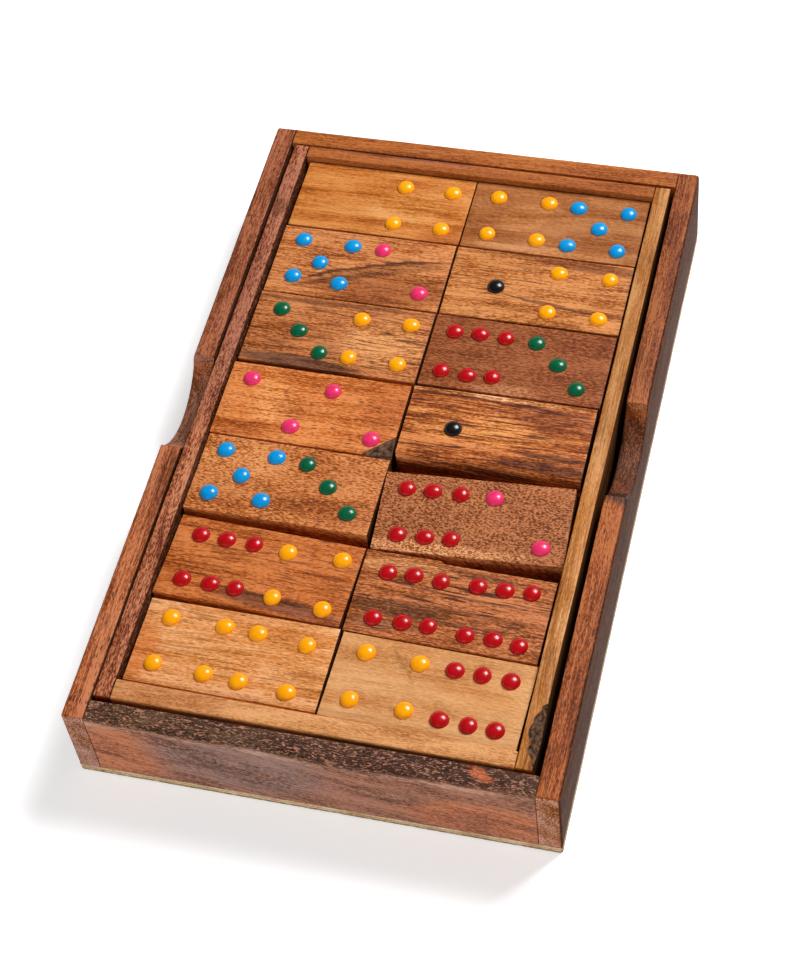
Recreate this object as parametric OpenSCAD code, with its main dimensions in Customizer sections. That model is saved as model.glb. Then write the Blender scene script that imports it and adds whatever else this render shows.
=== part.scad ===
// Domino storage box of oiled hardwood. An outer case with a plywood base and a finger
// scoop in each long rail holds a loose inner tray, and the tray holds a set of wooden
// dominoes in two layers. The case is as deep as the tray, so it also serves as its lid.
// Millimetres, +Z up. The origin is at the centre of the case's underside, +X is the
// right-hand side and +Y the far end.

/* [Case] */
// Outside width of the case, left to right
case_w = 126; // [126:0.5:132]
// Outside length of the case, front to back
case_l = 205; // [205:0.5:215]
// Height of the case, its base included
case_h = 27; // [27:0.5:32]
// Thickness of the four case rails
case_wall = 6; // [5:0.5:6]
// Thickness of the plywood base under the case rails
case_base_t = 2.5; // [2:0.1:2.5]
// Radius that the case's outer edges are sanded to
case_edge_r = 0.9; // [0.4:0.1:1.2]

/* [Finger scoops] */
// Radius of the round cut through each long rail
scoop_r = 19; // [14:0.5:24]
// Depth of the left scoop below the rim
scoop_depth_left = 8.5; // [5:0.5:10]
// Depth of the right scoop below the rim
scoop_depth_right = 8; // [5:0.5:10]
// Place of the left scoop's middle, towards the far end
scoop_y_left = -1.5; // [-20:0.5:20]
// Place of the right scoop's middle, towards the far end
scoop_y_right = 2.5; // [-20:0.5:20]

/* [Inner tray] */
// Total play of the tray between the case's long rails
tray_play_x = 2.2; // [1.8:0.1:2.2]
// Total play of the tray between the case's short rails
tray_play_y = 1.6; // [1.4:0.1:1.6]
// Thickness of the tray's long rails
tray_wall = 4.5; // [4:0.1:4.5]
// Thickness of the tray's far rail
tray_back_wall = 4.2; // [3.8:0.1:4.2]
// Thickness of the tray's near rail at its left end
tray_front_wall_left = 5.7; // [5:0.1:5.7]
// Thickness of the tray's near rail at its right end
tray_front_wall_right = 4.8; // [4:0.1:4.8]
// Thickness of the plywood base under the tray rails
tray_base_t = 2.5; // [2:0.1:2.5]
// Radius that the tray's outer edges are sanded to
tray_edge_r = 0.7; // [0.4:0.1:1]
// How far the tray lies to the left of the case's middle
tray_left_of_middle = 0.45; // [0.3:0.05:0.5]
// How far the tray lies towards the far end
tray_beyond_middle = 0.3; // [0.1:0.05:0.35]
// How far the tray is turned in the case, clockwise from above, in degrees
tray_turn = 0.25; // [0:0.05:0.25]

/* [Dominoes] */
// Length of a domino
domino_l = 50.2; // [49:0.1:50.2]
// Width of a domino
domino_w = 24.8; // [23:0.1:24.8]
// Thickness of a domino
domino_t = 9.4; // [8.5:0.1:9.5]
// Radius that a domino's edges are sanded to
domino_edge_r = 0.3; // [0.2:0.1:1]
// Radius of the one heavily rounded domino edge
domino_round_edge_r = 3.5; // [2:0.5:5]
// Air between the lower dominoes' pips and the upper dominoes
layer_gap = 0.15; // [0.1:0.05:0.4]
// Air left where the tray and the lower dominoes rest on a base
rest_gap = 0.05; // [0.02:0.01:0.1]

/* [Pips] */
// Diameter of a pip, a raised drop of enamel
pip_d = 4.8; // [4:0.1:5.2]
// Height of a pip above the wood
pip_h = 1.1; // [0.8:0.1:1.2]
// Distance between neighbouring pips of a six, along the domino
pip_step_x = 7.1; // [6:0.1:7.4]
// Distance from the middle row of pips to an outer row
pip_step_y = 7; // [6:0.1:7.2]
// Distance from the domino's middle to the middle of each half's pips
half_middle = 11.8; // [11.4:0.1:12.2]

/* [Hidden] */
$fn = 96;
cut = 1;               // how far a cutting body runs past what it cuts
sphere_facets = 64;

// The case's inside
case_inner_w = case_w - 2 * case_wall;
case_inner_l = case_l - 2 * case_wall;

// The tray fills the case up to the rim
tray_w = case_inner_w - tray_play_x;
tray_l = case_inner_l - tray_play_y;
tray_z = case_base_t + rest_gap;
tray_floor_z = tray_z + tray_base_t;
tray_inner_w = tray_w - 2 * tray_wall;
tray_front_turn = atan((tray_front_wall_left - tray_front_wall_right) / tray_inner_w);

// Heights of the two layers of dominoes
lower_z = tray_floor_z + rest_gap;
upper_z = lower_z + domino_t + pip_h + layer_gap;

// How the dominoes happen to lie, from the far end to the near end of each column:
// [air behind it, shift to the right of its column, turn in degrees,
//  left and right number of the upper domino, left and right number of the one below]
LEFT_COLUMN = [
    [0.2, 0, -0.3, [0, 4], [5, 6]],
    [0.5, -0.4, -0.1, [5, 2], [0, 2]],
    [0.4, -0.7, -0.5, [3, 4], [3, 0]],
    [1.2, -1.3, -0.4, [2, 2], [5, 5]],
    [0.5, -1.25, -0.6, [5, 3], [1, 1]],
    [3.0, -1.0, -2.3, [6, 4], [6, 1]],
    [1.0, -1.0, -0.6, [4, 4], [2, 3]],
];
RIGHT_COLUMN = [
    [0.35, 0.45, -0.1, [4, 5], [0, 0]],
    [0.45, 0.3, 0, [1, 4], [5, 1]],
    [0.55, 0.1, -0.4, [6, 3], [3, 3]],
    [0.65, -0.4, 0.1, [1, 0], [0, 6]],
    [3.2, -0.25, 3.3, [6, 2], [1, 2]],
    [2.5, -0.2, -0.9, [6, 6], [5, 0]],
    [0.45, -0.15, -1.5, [4, 6], [1, 3]],
];
COLUMNS = [LEFT_COLUMN, RIGHT_COLUMN];
SIDES = ["left", "right"];
ROWS = [0 : len(LEFT_COLUMN) - 1];
ROUND_EDGED = ["right", 3];   // side and row of the domino with the heavily rounded edge

// Pips of each number, in steps from the middle of their half
PIP_SPOTS = [
    [],
    [[0, 0]],
    [[-1, 1], [1, -1]],
    [[-1, 1], [0, 0], [1, -1]],
    [[-1, 1], [1, 1], [-1, -1], [1, -1]],
    [[-1, 1], [1, 1], [0, 0], [-1, -1], [1, -1]],
    [[-1, 1], [0, 1], [1, 1], [-1, -1], [0, -1], [1, -1]],
];
PIP_COLOURS = ["ivory", "#1d1b1c", "#d23a63", "#12714b", "#eda51a", "#1f86c6", "#bf1a2b"];

LAYERS = ["lower", "upper"];
DOMINO_COLOURS = ["#b5793f", "#a9703c", "#96592f", "#a2633a", "#8f6340", "#a3683a", "#b98046"];

function domino_name(layer, side, row) = str("domino_", layer, "_", side, "_", row + 1);
function pips_name(side, row) = str("pips_upper_", side, "_", row + 1);

// ---- Shapes that the boards and dominoes share ----

// Rectangle with round corners, centred
module eased_rectangle(w, h, r) {
    square([w - 2 * r, h], center = true);
    square([w, h - 2 * r], center = true);
    for (x = [-1, 1], y = [-1, 1])
        translate([x * (w / 2 - r), y * (h / 2 - r)])
            circle(r);
}

// Block with every edge rounded, centred over z = 0, which it stands on
module eased_block(size, r) {
    intersection() {
        linear_extrude(size.z)
            eased_rectangle(size.x, size.y, r);
        translate([0, 0, size.z / 2])
            rotate([90, 0, 0])
                linear_extrude(size.y, center = true)
                    eased_rectangle(size.x, size.z, r);
        translate([0, 0, size.z / 2])
            rotate([0, 90, 0])
                linear_extrude(size.x, center = true)
                    eased_rectangle(size.z, size.y, r);
    }
}

// Outside of a whole frame of rails: round on its top edges and upright corners, and
// carried on below the underside, which stays sharp
module frame_outside(w, l, top_z, r) {
    below = r + cut;
    translate([0, 0, -below])
        eased_block([w, l, top_z + below], r);
}

// Straight rail along Y, its outer face at x = 0 and its thickness towards +X, with the
// inner top edge rounded
module rail(thickness, length, bottom_z, top_z, r) {
    rotate([90, 0, 0])
        linear_extrude(length, center = true) {
            translate([0, bottom_z])
                square([thickness, top_z - bottom_z - r]);
            translate([0, bottom_z])
                square([thickness - r, top_z - bottom_z]);
            translate([thickness - r, top_z - r])
                circle(r);
        }
}

// ---- Outer case ----

module case_outside() {
    frame_outside(case_w, case_l, case_h, case_edge_r);
}

// Long rail on the left: it runs the full length, so its ends show end grain
module case_long_rail() {
    intersection() {
        case_outside();
        translate([-case_w / 2, 0, 0])
            rail(case_wall, case_l + 2 * cut, case_base_t, case_h, case_edge_r / 2);
    }
}

// Short rail at the near end, butted between the long rails
module case_short_rail() {
    intersection() {
        case_outside();
        translate([0, -case_l / 2, 0])
            rotate([0, 0, 90])
                rail(case_wall, case_inner_w, case_base_t, case_h, case_edge_r / 2);
    }
}

// Round cut for a finger and thumb, across the rail at x
module scoop(x, y, depth) {
    translate([x, y, case_h - depth + scoop_r])
        rotate([0, 90, 0])
            cylinder(h = case_wall + 2 * cut, r = scoop_r, center = true);
}

module case_base() {
    color("#c59b66")
        linear_extrude(case_base_t)
            eased_rectangle(case_w, case_l, case_edge_r);
}

module case_rail_left() {
    color("#6f3a25")
        difference() {
            case_long_rail();
            scoop((case_wall - case_w) / 2, scoop_y_left, scoop_depth_left);
        }
}

module case_rail_right() {
    color("#71391f")
        difference() {
            mirror([1, 0, 0])
                case_long_rail();
            scoop((case_w - case_wall) / 2, scoop_y_right, scoop_depth_right);
        }
}

module case_rail_front() {
    color("#5c3527")
        case_short_rail();
}

module case_rail_back() {
    color("#84481f")
        mirror([0, 1, 0])
            case_short_rail();
}

// ---- Inner tray, drawn square to its own middle and then laid in the case ----

module laid_in_case() {
    translate([-tray_left_of_middle, tray_beyond_middle, 0])
        rotate([0, 0, -tray_turn])
            children();
}

module tray_outside() {
    frame_outside(tray_w, tray_l, case_h, tray_edge_r);
}

module tray_long_rail() {
    intersection() {
        tray_outside();
        translate([-tray_w / 2, 0, 0])
            rail(tray_wall, tray_l + 2 * cut, tray_floor_z, case_h, tray_edge_r / 2);
    }
}

module tray_base() {
    color("#b98a58")
        laid_in_case()
            translate([0, 0, tray_z])
                linear_extrude(tray_base_t)
                    eased_rectangle(tray_w, tray_l, tray_edge_r);
}

module tray_rail_left() {
    color("#5d2f20")
        laid_in_case()
            tray_long_rail();
}

module tray_rail_right() {
    color("#a8703c")
        laid_in_case()
            mirror([1, 0, 0])
                tray_long_rail();
}

// The near rail is thicker at its left end, so it is a stouter rail, turned a little and
// trimmed to the tray's outside and between the long rails
module tray_rail_front() {
    middle_wall = (tray_front_wall_left + tray_front_wall_right) / 2;
    spare = 2;
    color("#a0683a")
        laid_in_case()
            intersection() {
                tray_outside();
                cube([tray_inner_w, tray_l + cut, 2 * case_h + cut], center = true);
                translate([0, -tray_l / 2 + middle_wall, 0])
                    rotate([0, 0, 90 - tray_front_turn])
                        translate([-middle_wall - spare, 0, 0])
                            rail(middle_wall + spare, tray_w, tray_floor_z, case_h, tray_edge_r / 2);
            }
}

module tray_rail_back() {
    color("#8a4f26")
        laid_in_case()
            intersection() {
                tray_outside();
                translate([0, tray_l / 2, 0])
                    rotate([0, 0, -90])
                        rail(tray_back_wall, tray_inner_w, tray_floor_z, case_h, tray_edge_r / 2);
            }
}

// ---- Dominoes ----

// Air behind a row and behind every row beyond it
function air_to(column, row) = column[row][0] + (row == 0 ? 0 : air_to(column, row - 1));

// Puts a child, drawn at the origin, where the domino of that side and row lies at height z
module at_place(side, row, z) {
    s = side == "left" ? 0 : 1;
    column = COLUMNS[s];
    column_x = (s == 0 ? -1 : 1) * domino_l / 2;
    back_y = tray_l / 2 - tray_back_wall + tray_beyond_middle;
    y = back_y - air_to(column, row) - (row + 0.5) * domino_w;
    translate([column_x + column[row][1], y, z])
        rotate([0, 0, column[row][2]])
            children();
}

function upper_numbers(side, row) = COLUMNS[side == "left" ? 0 : 1][row][3];
function lower_numbers(side, row) = COLUMNS[side == "left" ? 0 : 1][row][4];

// Wooden blank of a domino, standing on z = 0
module domino_blank() {
    eased_block([domino_l, domino_w, domino_t], domino_edge_r);
}

// What comes off the near top edge of the heavily rounded domino
module round_edge_waste() {
    r = domino_round_edge_r;
    translate([0, -domino_w / 2, domino_t])
        rotate([0, 90, 0])
            difference() {
                cube([2 * r, 2 * r, domino_l + 2 * cut], center = true);
                translate([r, r, 0])
                    cylinder(h = domino_l + 4 * cut, r = r, center = true);
            }
}

// One child at each pip of a domino that shows the numbers [left, right]
module at_pips(numbers, which) {
    for (spot = PIP_SPOTS[numbers[which]])
        translate([(2 * which - 1) * half_middle + spot.x * pip_step_x, spot.y * pip_step_y, domino_t])
            children();
}

// Ball whose cap above z = 0 is one pip
module pip_ball() {
    ball_r = (pow(pip_d / 2, 2) + pow(pip_h, 2)) / (2 * pip_h);
    translate([0, 0, pip_h - ball_r])
        sphere(ball_r, $fn = sphere_facets);
}

// Drop of enamel standing on z = 0
module pip() {
    intersection() {
        pip_ball();
        translate([-pip_d, -pip_d, 0])
            cube([2 * pip_d, 2 * pip_d, 2 * pip_h]);
    }
}

// Domino of the lower layer, its pips fused to the wood
module lower_domino(side, row) {
    numbers = lower_numbers(side, row);
    at_place(side, row, lower_z) {
        color(DOMINO_COLOURS[row])
            domino_blank();
        for (which = [0, 1])
            color(PIP_COLOURS[numbers[which]])
                at_pips(numbers, which)
                    pip_ball();
    }
}

// Wood of a domino of the upper layer
module upper_domino(side, row) {
    color(DOMINO_COLOURS[row])
        at_place(side, row, upper_z)
            difference() {
                domino_blank();
                if ([side, row] == ROUND_EDGED)
                    round_edge_waste();
            }
}

// Pips of a domino of the upper layer
module upper_pips(side, row) {
    numbers = upper_numbers(side, row);
    for (which = [0, 1])
        color(PIP_COLOURS[numbers[which]])
            at_place(side, row, upper_z)
                at_pips(numbers, which)
                    pip();
}

case_base();
case_rail_left();
case_rail_right();
case_rail_front();
case_rail_back();
tray_base();
tray_rail_left();
tray_rail_right();
tray_rail_front();
tray_rail_back();
for (side = SIDES, row = ROWS) {
    lower_domino(side, row);
    upper_domino(side, row);
    upper_pips(side, row);
}
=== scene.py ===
"""Domino storage box of oiled tropical hardwood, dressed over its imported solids.

Every board and domino is a sawn block with sanded edges and a slightly uneven surface, and
every pip is a drop of enamel. Lengths in the tables below are millimetres.
"""
import math

import bmesh
import bpy
from mathutils import Matrix, Vector


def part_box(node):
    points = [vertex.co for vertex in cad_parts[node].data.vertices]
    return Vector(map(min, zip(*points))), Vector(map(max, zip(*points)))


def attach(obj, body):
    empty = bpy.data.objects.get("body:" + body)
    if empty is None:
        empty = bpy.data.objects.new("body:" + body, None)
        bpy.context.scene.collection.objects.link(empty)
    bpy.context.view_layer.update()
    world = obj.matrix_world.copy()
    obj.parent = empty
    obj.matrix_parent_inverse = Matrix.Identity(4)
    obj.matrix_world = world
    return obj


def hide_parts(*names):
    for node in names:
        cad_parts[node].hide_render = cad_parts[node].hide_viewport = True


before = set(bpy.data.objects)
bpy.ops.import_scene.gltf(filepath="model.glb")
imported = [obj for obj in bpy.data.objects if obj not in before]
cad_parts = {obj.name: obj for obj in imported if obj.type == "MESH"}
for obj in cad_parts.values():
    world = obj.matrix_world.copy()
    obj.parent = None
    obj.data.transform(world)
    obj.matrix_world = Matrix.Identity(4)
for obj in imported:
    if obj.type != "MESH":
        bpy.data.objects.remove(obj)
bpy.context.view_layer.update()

MM = 0.001


# ---- Sizes, in mm ----

CASE_W, CASE_L, CASE_H = 126, 205, 27
CASE_BASE_T = 2.5
CASE_WALL = 6
SCOOP_R = 19
SCOOPS = {"left": (-1.5, 8.5), "right": (2.5, 8)}   # middle towards the far end, depth

TRAY_W, TRAY_L = 111.8, 191.4
TRAY_Z, TRAY_FLOOR_Z = 2.55, 5.05
TRAY_WALL, TRAY_BACK_WALL = 4.5, 4.2
TRAY_FRONT_WALL_LEFT, TRAY_FRONT_WALL_RIGHT = 5.7, 4.8
TRAY_PLACE, TRAY_TURN = (-0.45, 0.3, 0), -0.25      # in the case, and in degrees

DOMINO = (50.2, 24.8, 9.4)
SANDED_OFF = 0.2       # extra length of a blank, most of which sanding takes off again
PIP_D, PIP_H = 4.9, 1.4
PIP_SUNK = 0.15        # how deep a drop's rim lies in the wood
LOWER_SINK = 0.36      # how much lower the hidden layer's drops lie, to fit under the upper one
DROP_FLATNESS = 0.62   # height of the ball that a drop is cut from, over its width
HALF_MIDDLE, PIP_STEP = 11.8, (7.1, 7.0)            # neat places of the pips on a half
PIP_SPOTS = [[], [(0, 0)], [(-1, 1), (1, -1)], [(-1, 1), (0, 0), (1, -1)],
             [(-1, 1), (1, 1), (-1, -1), (1, -1)],
             [(-1, 1), (1, 1), (0, 0), (-1, -1), (1, -1)],
             [(-1, 1), (0, 1), (1, 1), (-1, -1), (0, -1), (1, -1)]]


# ---- Colours ----

def colour(code):
    """sRGB hex value as linear RGBA"""
    parts = [int(code[i:i + 2], 16) / 255 for i in (1, 3, 5)]
    return [c / 12.92 if c <= 0.04045 else ((c + 0.055) / 1.055) ** 2.4 for c in parts] + [1]


# ---- Shaping, as by hand ----

def deselect():
    """Deselects everything, outside edit mode"""
    if bpy.context.mode != "OBJECT":
        bpy.ops.object.mode_set(mode="OBJECT")
    bpy.ops.object.select_all(action="DESELECT")


def only(piece):
    """Selects one piece alone and makes it the active one"""
    deselect()
    piece.select_set(True)
    bpy.context.view_layer.objects.active = piece


def added(name):
    """The primitive that was just added, named and with its place and size in its mesh"""
    piece = bpy.context.object
    piece.name = piece.data.name = name
    bpy.ops.object.transform_apply(location=True, rotation=True, scale=True)
    return piece


def block(name, low, high):
    """Block sawn to size between two corners in mm"""
    low, high = Vector(low) * MM, Vector(high) * MM
    deselect()
    bpy.ops.mesh.primitive_cube_add(size=1, location=(low + high) / 2, scale=high - low)
    return added(name)


def middle_of(part):
    """Middle of a vertex, an edge or a face, in mm"""
    if isinstance(part, bmesh.types.BMVert):
        return part.co / MM
    if isinstance(part, bmesh.types.BMFace):
        return part.calc_center_median() / MM
    return (part.verts[0].co + part.verts[1].co) / 2 / MM


def pick(piece, kind, wanted):
    """In edit mode, selects the vertices, edges or faces that a test on their middle wants"""
    only(piece)
    bpy.ops.object.mode_set(mode="EDIT")
    bpy.ops.mesh.select_mode(type=kind)
    bpy.ops.mesh.select_all(action="DESELECT")
    mesh = bmesh.from_edit_mesh(piece.data)
    for part in {"VERT": mesh.verts, "EDGE": mesh.edges, "FACE": mesh.faces}[kind]:
        part.select_set(bool(wanted(middle_of(part), part)))
    mesh.select_flush_mode()
    bmesh.update_edit_mesh(piece.data)


def apply_modifier(piece, kind, name, **settings):
    """Adds a modifier with its settings and applies it"""
    only(piece)
    modifier = piece.modifiers.new(name, kind)
    for setting, value in settings.items():
        setattr(modifier, setting, value)
    bpy.ops.object.modifier_apply(modifier=modifier.name)


WIDEST_ROUND = 4           # radius in mm that a bevel weight of 1 stands for
EASED = 0.15               # radius in mm of each edge that has no other
SHARP = math.radians(30)   # an edge that turns more than this is sanded


def round_edges(piece, radii=()):
    """Sands the sharp edges. radii pairs a test on an edge's middle with its radius in mm."""
    for wanted, radius in [(lambda at: True, EASED), *radii]:
        pick(piece, "EDGE", lambda at, edge: edge.calc_face_angle(0) > SHARP and wanted(at))
        bpy.ops.transform.edge_bevelweight(value=-1)
        bpy.ops.transform.edge_bevelweight(value=radius / WIDEST_ROUND)
    apply_modifier(piece, "BEVEL", "sanded edges", limit_method="WEIGHT", segments=3,
                   width=WIDEST_ROUND * MM, use_clamp_overlap=False)


def cross_cuts(piece, axis, places):
    """Cuts the surface across at places along an axis, so that it can be made uneven"""
    only(piece)
    bpy.ops.object.mode_set(mode="EDIT")
    normal = [float(i == axis) for i in range(3)]
    for place in places:
        bpy.ops.mesh.select_all(action="SELECT")
        bpy.ops.mesh.bisect(plane_co=[place * MM * n for n in normal], plane_no=normal)
    bpy.ops.object.mode_set(mode="OBJECT")


def trim(piece, point, normal):
    """Takes off what lies beyond a plane through a point in mm, and closes the cut"""
    only(piece)
    bpy.ops.object.mode_set(mode="EDIT")
    bpy.ops.mesh.select_all(action="SELECT")
    bpy.ops.mesh.bisect(plane_co=Vector(point) * MM, plane_no=Vector(normal).normalized(),
                        use_fill=True, clear_outer=True)
    bpy.ops.object.mode_set(mode="OBJECT")


def cut_by(piece, cutter):
    """Takes a cutter's shape off a piece"""
    apply_modifier(piece, "BOOLEAN", "cut", object=cutter, solver="EXACT")
    bpy.data.objects.remove(cutter)


def steps(start, end, spacing):
    """Evenly spaced places between two, without either"""
    count = max(2, round((end - start) / spacing))
    return [start + (end - start) * i / count for i in range(1, count)]


def unevenness(name, lumps):
    """Soft noise with lumps of that many mm, for displacing a surface"""
    texture = bpy.data.textures.new(name, "CLOUDS")
    texture.noise_scale = lumps * MM
    return texture


SANDING_WAVES = unevenness("sanding_waves", 9)
TORN_BARK = unevenness("torn_bark", 3)
NOISE_TOP, NOISE_MIDDLE = 1.1, 0.5     # the noise stays below the one and swings about the other
SANDING_DEPTH = 0.12                   # mm
SMOOTH_WOOD = math.radians(38)         # faces that meet at less are shaded as one round
SMOOTH_DROP = math.radians(50)


def sand_by_hand(piece):
    """Takes an uneven thickness off and shades the rounds smooth"""
    apply_modifier(piece, "DISPLACE", "hand sanding", texture=SANDING_WAVES,
                   texture_coords="LOCAL", mid_level=NOISE_TOP, strength=SANDING_DEPTH * MM)
    bpy.ops.object.shade_smooth_by_angle(angle=SMOOTH_WOOD)


def lay(piece, place, turn=0):
    """Turns a piece about the origin, in degrees from above, and moves it to a place in mm"""
    only(piece)
    piece.matrix_world = (Matrix.Translation(Vector(place) * MM)
                          @ Matrix.Rotation(math.radians(turn), 4, "Z"))
    bpy.ops.object.transform_apply(location=True, rotation=True, scale=True)


def copy_of(piece, name):
    """Copy with its own mesh"""
    copy = piece.copy()
    copy.data = piece.data.copy()
    copy.name = copy.data.name = name
    bpy.context.collection.objects.link(copy)
    return copy


def hand_over(piece, material, body, slot, *nodes):
    """Gives a finished piece its material and its body, and hides the parts of the nodes it
    stands for. slot is not used.
    """
    if material and piece.data.materials:
        piece.data.materials[0] = material   # the second slot may hold bark
    elif material:
        piece.data.materials.append(material)
    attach(piece, body)
    if nodes:
        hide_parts(*nodes)


# ---- Materials ----

def connect(tree, node, inputs):
    """Gives each input of a node a value or another node's output"""
    for socket, value in inputs.items():
        if isinstance(value, bpy.types.NodeSocket):
            tree.links.new(value, node.inputs[socket])
        else:
            node.inputs[socket].default_value = value


def add(tree, kind, inputs, output=0, **settings):
    """Adds a shader node with its settings and its inputs, and returns one of its outputs"""
    node = tree.nodes.new("ShaderNode" + kind)
    for setting, value in settings.items():
        setattr(node, setting, value)
    connect(tree, node, inputs)
    return node.outputs[output]


def new_material(name):
    """New material, its node tree, its Principled shader and its texture coordinates"""
    material = bpy.data.materials.new(name)
    material.use_nodes = True
    tree = material.node_tree
    return (material, tree, tree.nodes["Principled BSDF"],
            tree.nodes.new("ShaderNodeTexCoord").outputs)


def millimetres(tree, where, place, turn):
    """Millimetres from the middle of a piece that is turned by turn degrees, x along it"""
    return add(tree, "Mapping", {"Vector": where["Object"], "Location": Vector(place) * MM,
                                 "Rotation": (0, 0, math.radians(turn)),
                                 "Scale": (MM, MM, MM)}, vector_type="TEXTURE")


def noises(tree, vector, features):
    """Noise for each feature of a wood"""
    noise = {}
    for feature, (lumps, start, detail) in features.items():
        spread = add(tree, "Mapping", {"Vector": vector, "Location": [start] * 3,
                                       "Scale": lumps}, vector_type="TEXTURE")
        noise[feature] = add(tree, "TexNoise", {"Vector": spread, "Scale": 1,
                                                "Detail": detail}).node.outputs
    return noise


# For each feature, its lumps in mm, along the fibres and across them, the place in mm that
# the noise starts from, and its detail
HARDWOOD_NOISE = {
    "fibres": ((20, 0.45, 0.45), 0, 1),
    "flecks": ((1.2, 0.3, 0.3), 0, 1),
    "clouds": ((24, 6, 6), 0, 1),
    "ragged edges": ((7, 0.9, 0.9), 0, 2),
    "dark lines": ((30, 0.55, 0.55), 9, 0),
    "places with dark lines": ((30, 5, 5), 0, 2),
}
SWAY_LUMPS = (45, 14, 14)
PORE_ROOM = (2.6, 0.45, 0.45)
CURL = (1.8, 0.6, 0.6)
PORE_BROWN = "#4a2010"
SOFTLY = {"interpolation_type": "SMOOTHSTEP"}


def oiled_hardwood(name, place, turn, tones, roll=60, dive=3, sway=3, pith=30, ring=2.6,
                   rings=0.5, fibre=0.8, fleck=0.35, cloud=0.8, lines=0.6, pores=0.75,
                   glints=0.0, coarse=1, marks=(), end_tone=None, painted_shade_tone=None,
                   side=(0, 1, 0), both_sides=True):
    """Oiled tropical hardwood, planed and sanded: streaks along the fibres from growth rings
    cut at a slant, long thin dark lines, and coarse pores that show as short dark dashes
    where the fibres lie in the surface and as dots where they dive through it. Satin from
    the oil. The pores and lines are drawn about twice as wide as real ones, 0.4 mm, so that
    they show.

    place, turn: the piece's middle in mm and its direction in degrees
    tones: its dark, middle and light colour
    roll, dive: degrees that the rings are turned about the fibres, and that the fibres are
        tipped out of the surface
    sway, pith, ring: how far the fibres wander, how far off the tree's middle lies, and the
        spacing of the rings, in mm
    rings, fibre, fleck, cloud: how much the rings, the long fine fibres, the short flecks
        and the slow clouds change the tone
    lines, pores, glints: strength of the dark lines, the pores and the bright curls, which
    are light figure and painted glints of light off the pores in one
    coarse: scale of everything finer than the rings
    marks: streaks and stains of another colour, each with its place and half sizes in mm,
        tilt in degrees, strength, colour and, on a bent one, its bend: sideways mm for each
        square mm along it
    end_tone: colour of the end grain, painted very dark on the dominoes for the shade in the
        gaps between their ends, and light and greyish on the case's long rails for front
        light and sheen
    painted_shade_tone: colour of painted shade on a side, for faces in the box's narrow gaps and
    for
        a face that the light misses
    side, both_sides: that side, and whether the one opposite gets the painted shade too
    """
    material, tree, shader, where = new_material(name)
    turned, tipped = math.radians(turn), math.radians(dive)

    # Millimetres from the piece's middle, x along it, then the slow sway of the fibres
    along = millimetres(tree, where, place, turn)
    elsewhere = Vector((7 * place[0], 3 * place[1], 5 * place[2]))   # no two boards alike
    slow = add(tree, "Mapping", {"Vector": along, "Location": elsewhere, "Scale": SWAY_LUMPS},
               vector_type="TEXTURE")
    drift = add(tree, "TexNoise", {"Vector": slow, "Scale": 1, "Detail": 1}, "Color")
    swayed = add(tree, "VectorMath", {0: drift, 1: (0, sway, sway), 2: along},
                 operation="MULTIPLY_ADD")
    grain = add(tree, "Mapping", {"Vector": swayed, "Rotation": (math.radians(roll), tipped, 0)},
                vector_type="TEXTURE")
    cut = add(tree, "Mapping", {"Vector": grain, "Location": elsewhere, "Scale": [coarse] * 3},
              vector_type="TEXTURE")
    noise = noises(tree, cut, HARDWOOD_NOISE)

    # Growth rings: distance from the pith, squeezed along the fibres
    squeezed = add(tree, "Mapping", {"Vector": grain, "Location": (0, 0, -pith),
                                     "Scale": (60, 1, 1)}, vector_type="TEXTURE")
    growth = add(tree, "VectorMath", {0: squeezed}, "Value", operation="LENGTH")
    years = add(tree, "Math", {0: growth, 1: ring}, operation="DIVIDE")
    bands = add(tree, "TexNoise", {"W": years, "Scale": 1, "Detail": 2, "Roughness": 0.65},
                noise_dimensions="1D")

    # All the patterns together choose between the tones
    fibres = noise["fibres"][0]
    flecks = add(tree, "MapRange", {"Value": noise["flecks"][0], "From Min": 0.33,
                                    "From Max": 0.67}, **SOFTLY)
    tone = 0.5 - (rings + fibre + fleck + cloud) / 2
    for pattern, amount in ((bands, rings), (fibres, fibre), (flecks, fleck),
                            (noise["clouds"][0], cloud)):
        tone = add(tree, "Math", {0: pattern, 1: amount, 2: tone}, operation="MULTIPLY_ADD")
    shade = add(tree, "ValToRGB", {"Fac": tone})
    stops = shade.node.color_ramp.elements
    stops[0].position, stops[0].color = 0.1, [c * 0.5 for c in colour(tones[0])[:3]] + [1]
    stops[1].position, stops[1].color = 0.7, colour(tones[2])
    stops.new(0.3).color = colour(tones[0])
    stops.new(0.5).color = colour(tones[1])

    # Streaks and stains: ragged ellipses. All noise swings about a half, so shift is added to
    # the places as the noise is to the wood.
    raggedness = Vector((5, 1.6, 1.6))
    shift = (raggedness + Vector((0, sway, sway))) / 2
    ragged = add(tree, "VectorMath", {0: noise["ragged edges"]["Color"], 1: raggedness,
                                      2: swayed}, operation="MULTIPLY_ADD")
    covers = []
    for at, half_size, tilt, amount, code, *bend in marks:
        spot = ragged
        if bend:
            x, y, z = add(tree, "SeparateXYZ", {0: ragged}).node.outputs
            off = add(tree, "Math", {0: x, 1: at[0] + shift.x}, operation="SUBTRACT")
            squared = add(tree, "Math", {0: off, 1: off}, operation="MULTIPLY")
            straight = add(tree, "Math", {0: squared, 1: -bend[0], 2: y},
                           operation="MULTIPLY_ADD")
            spot = add(tree, "CombineXYZ", {0: x, 1: straight, 2: z})
        oval = add(tree, "Mapping", {"Vector": spot, "Location": Vector(at) + shift,
                                     "Rotation": (0, 0, math.radians(tilt)),
                                     "Scale": half_size}, vector_type="TEXTURE")
        reach = add(tree, "VectorMath", {0: oval}, "Value", operation="LENGTH")
        share = add(tree, "MapRange", {"Value": reach, "From Min": 1.3, "From Max": 0.7,
                                       "To Max": amount}, **SOFTLY)
        covers.append((share, code))
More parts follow.
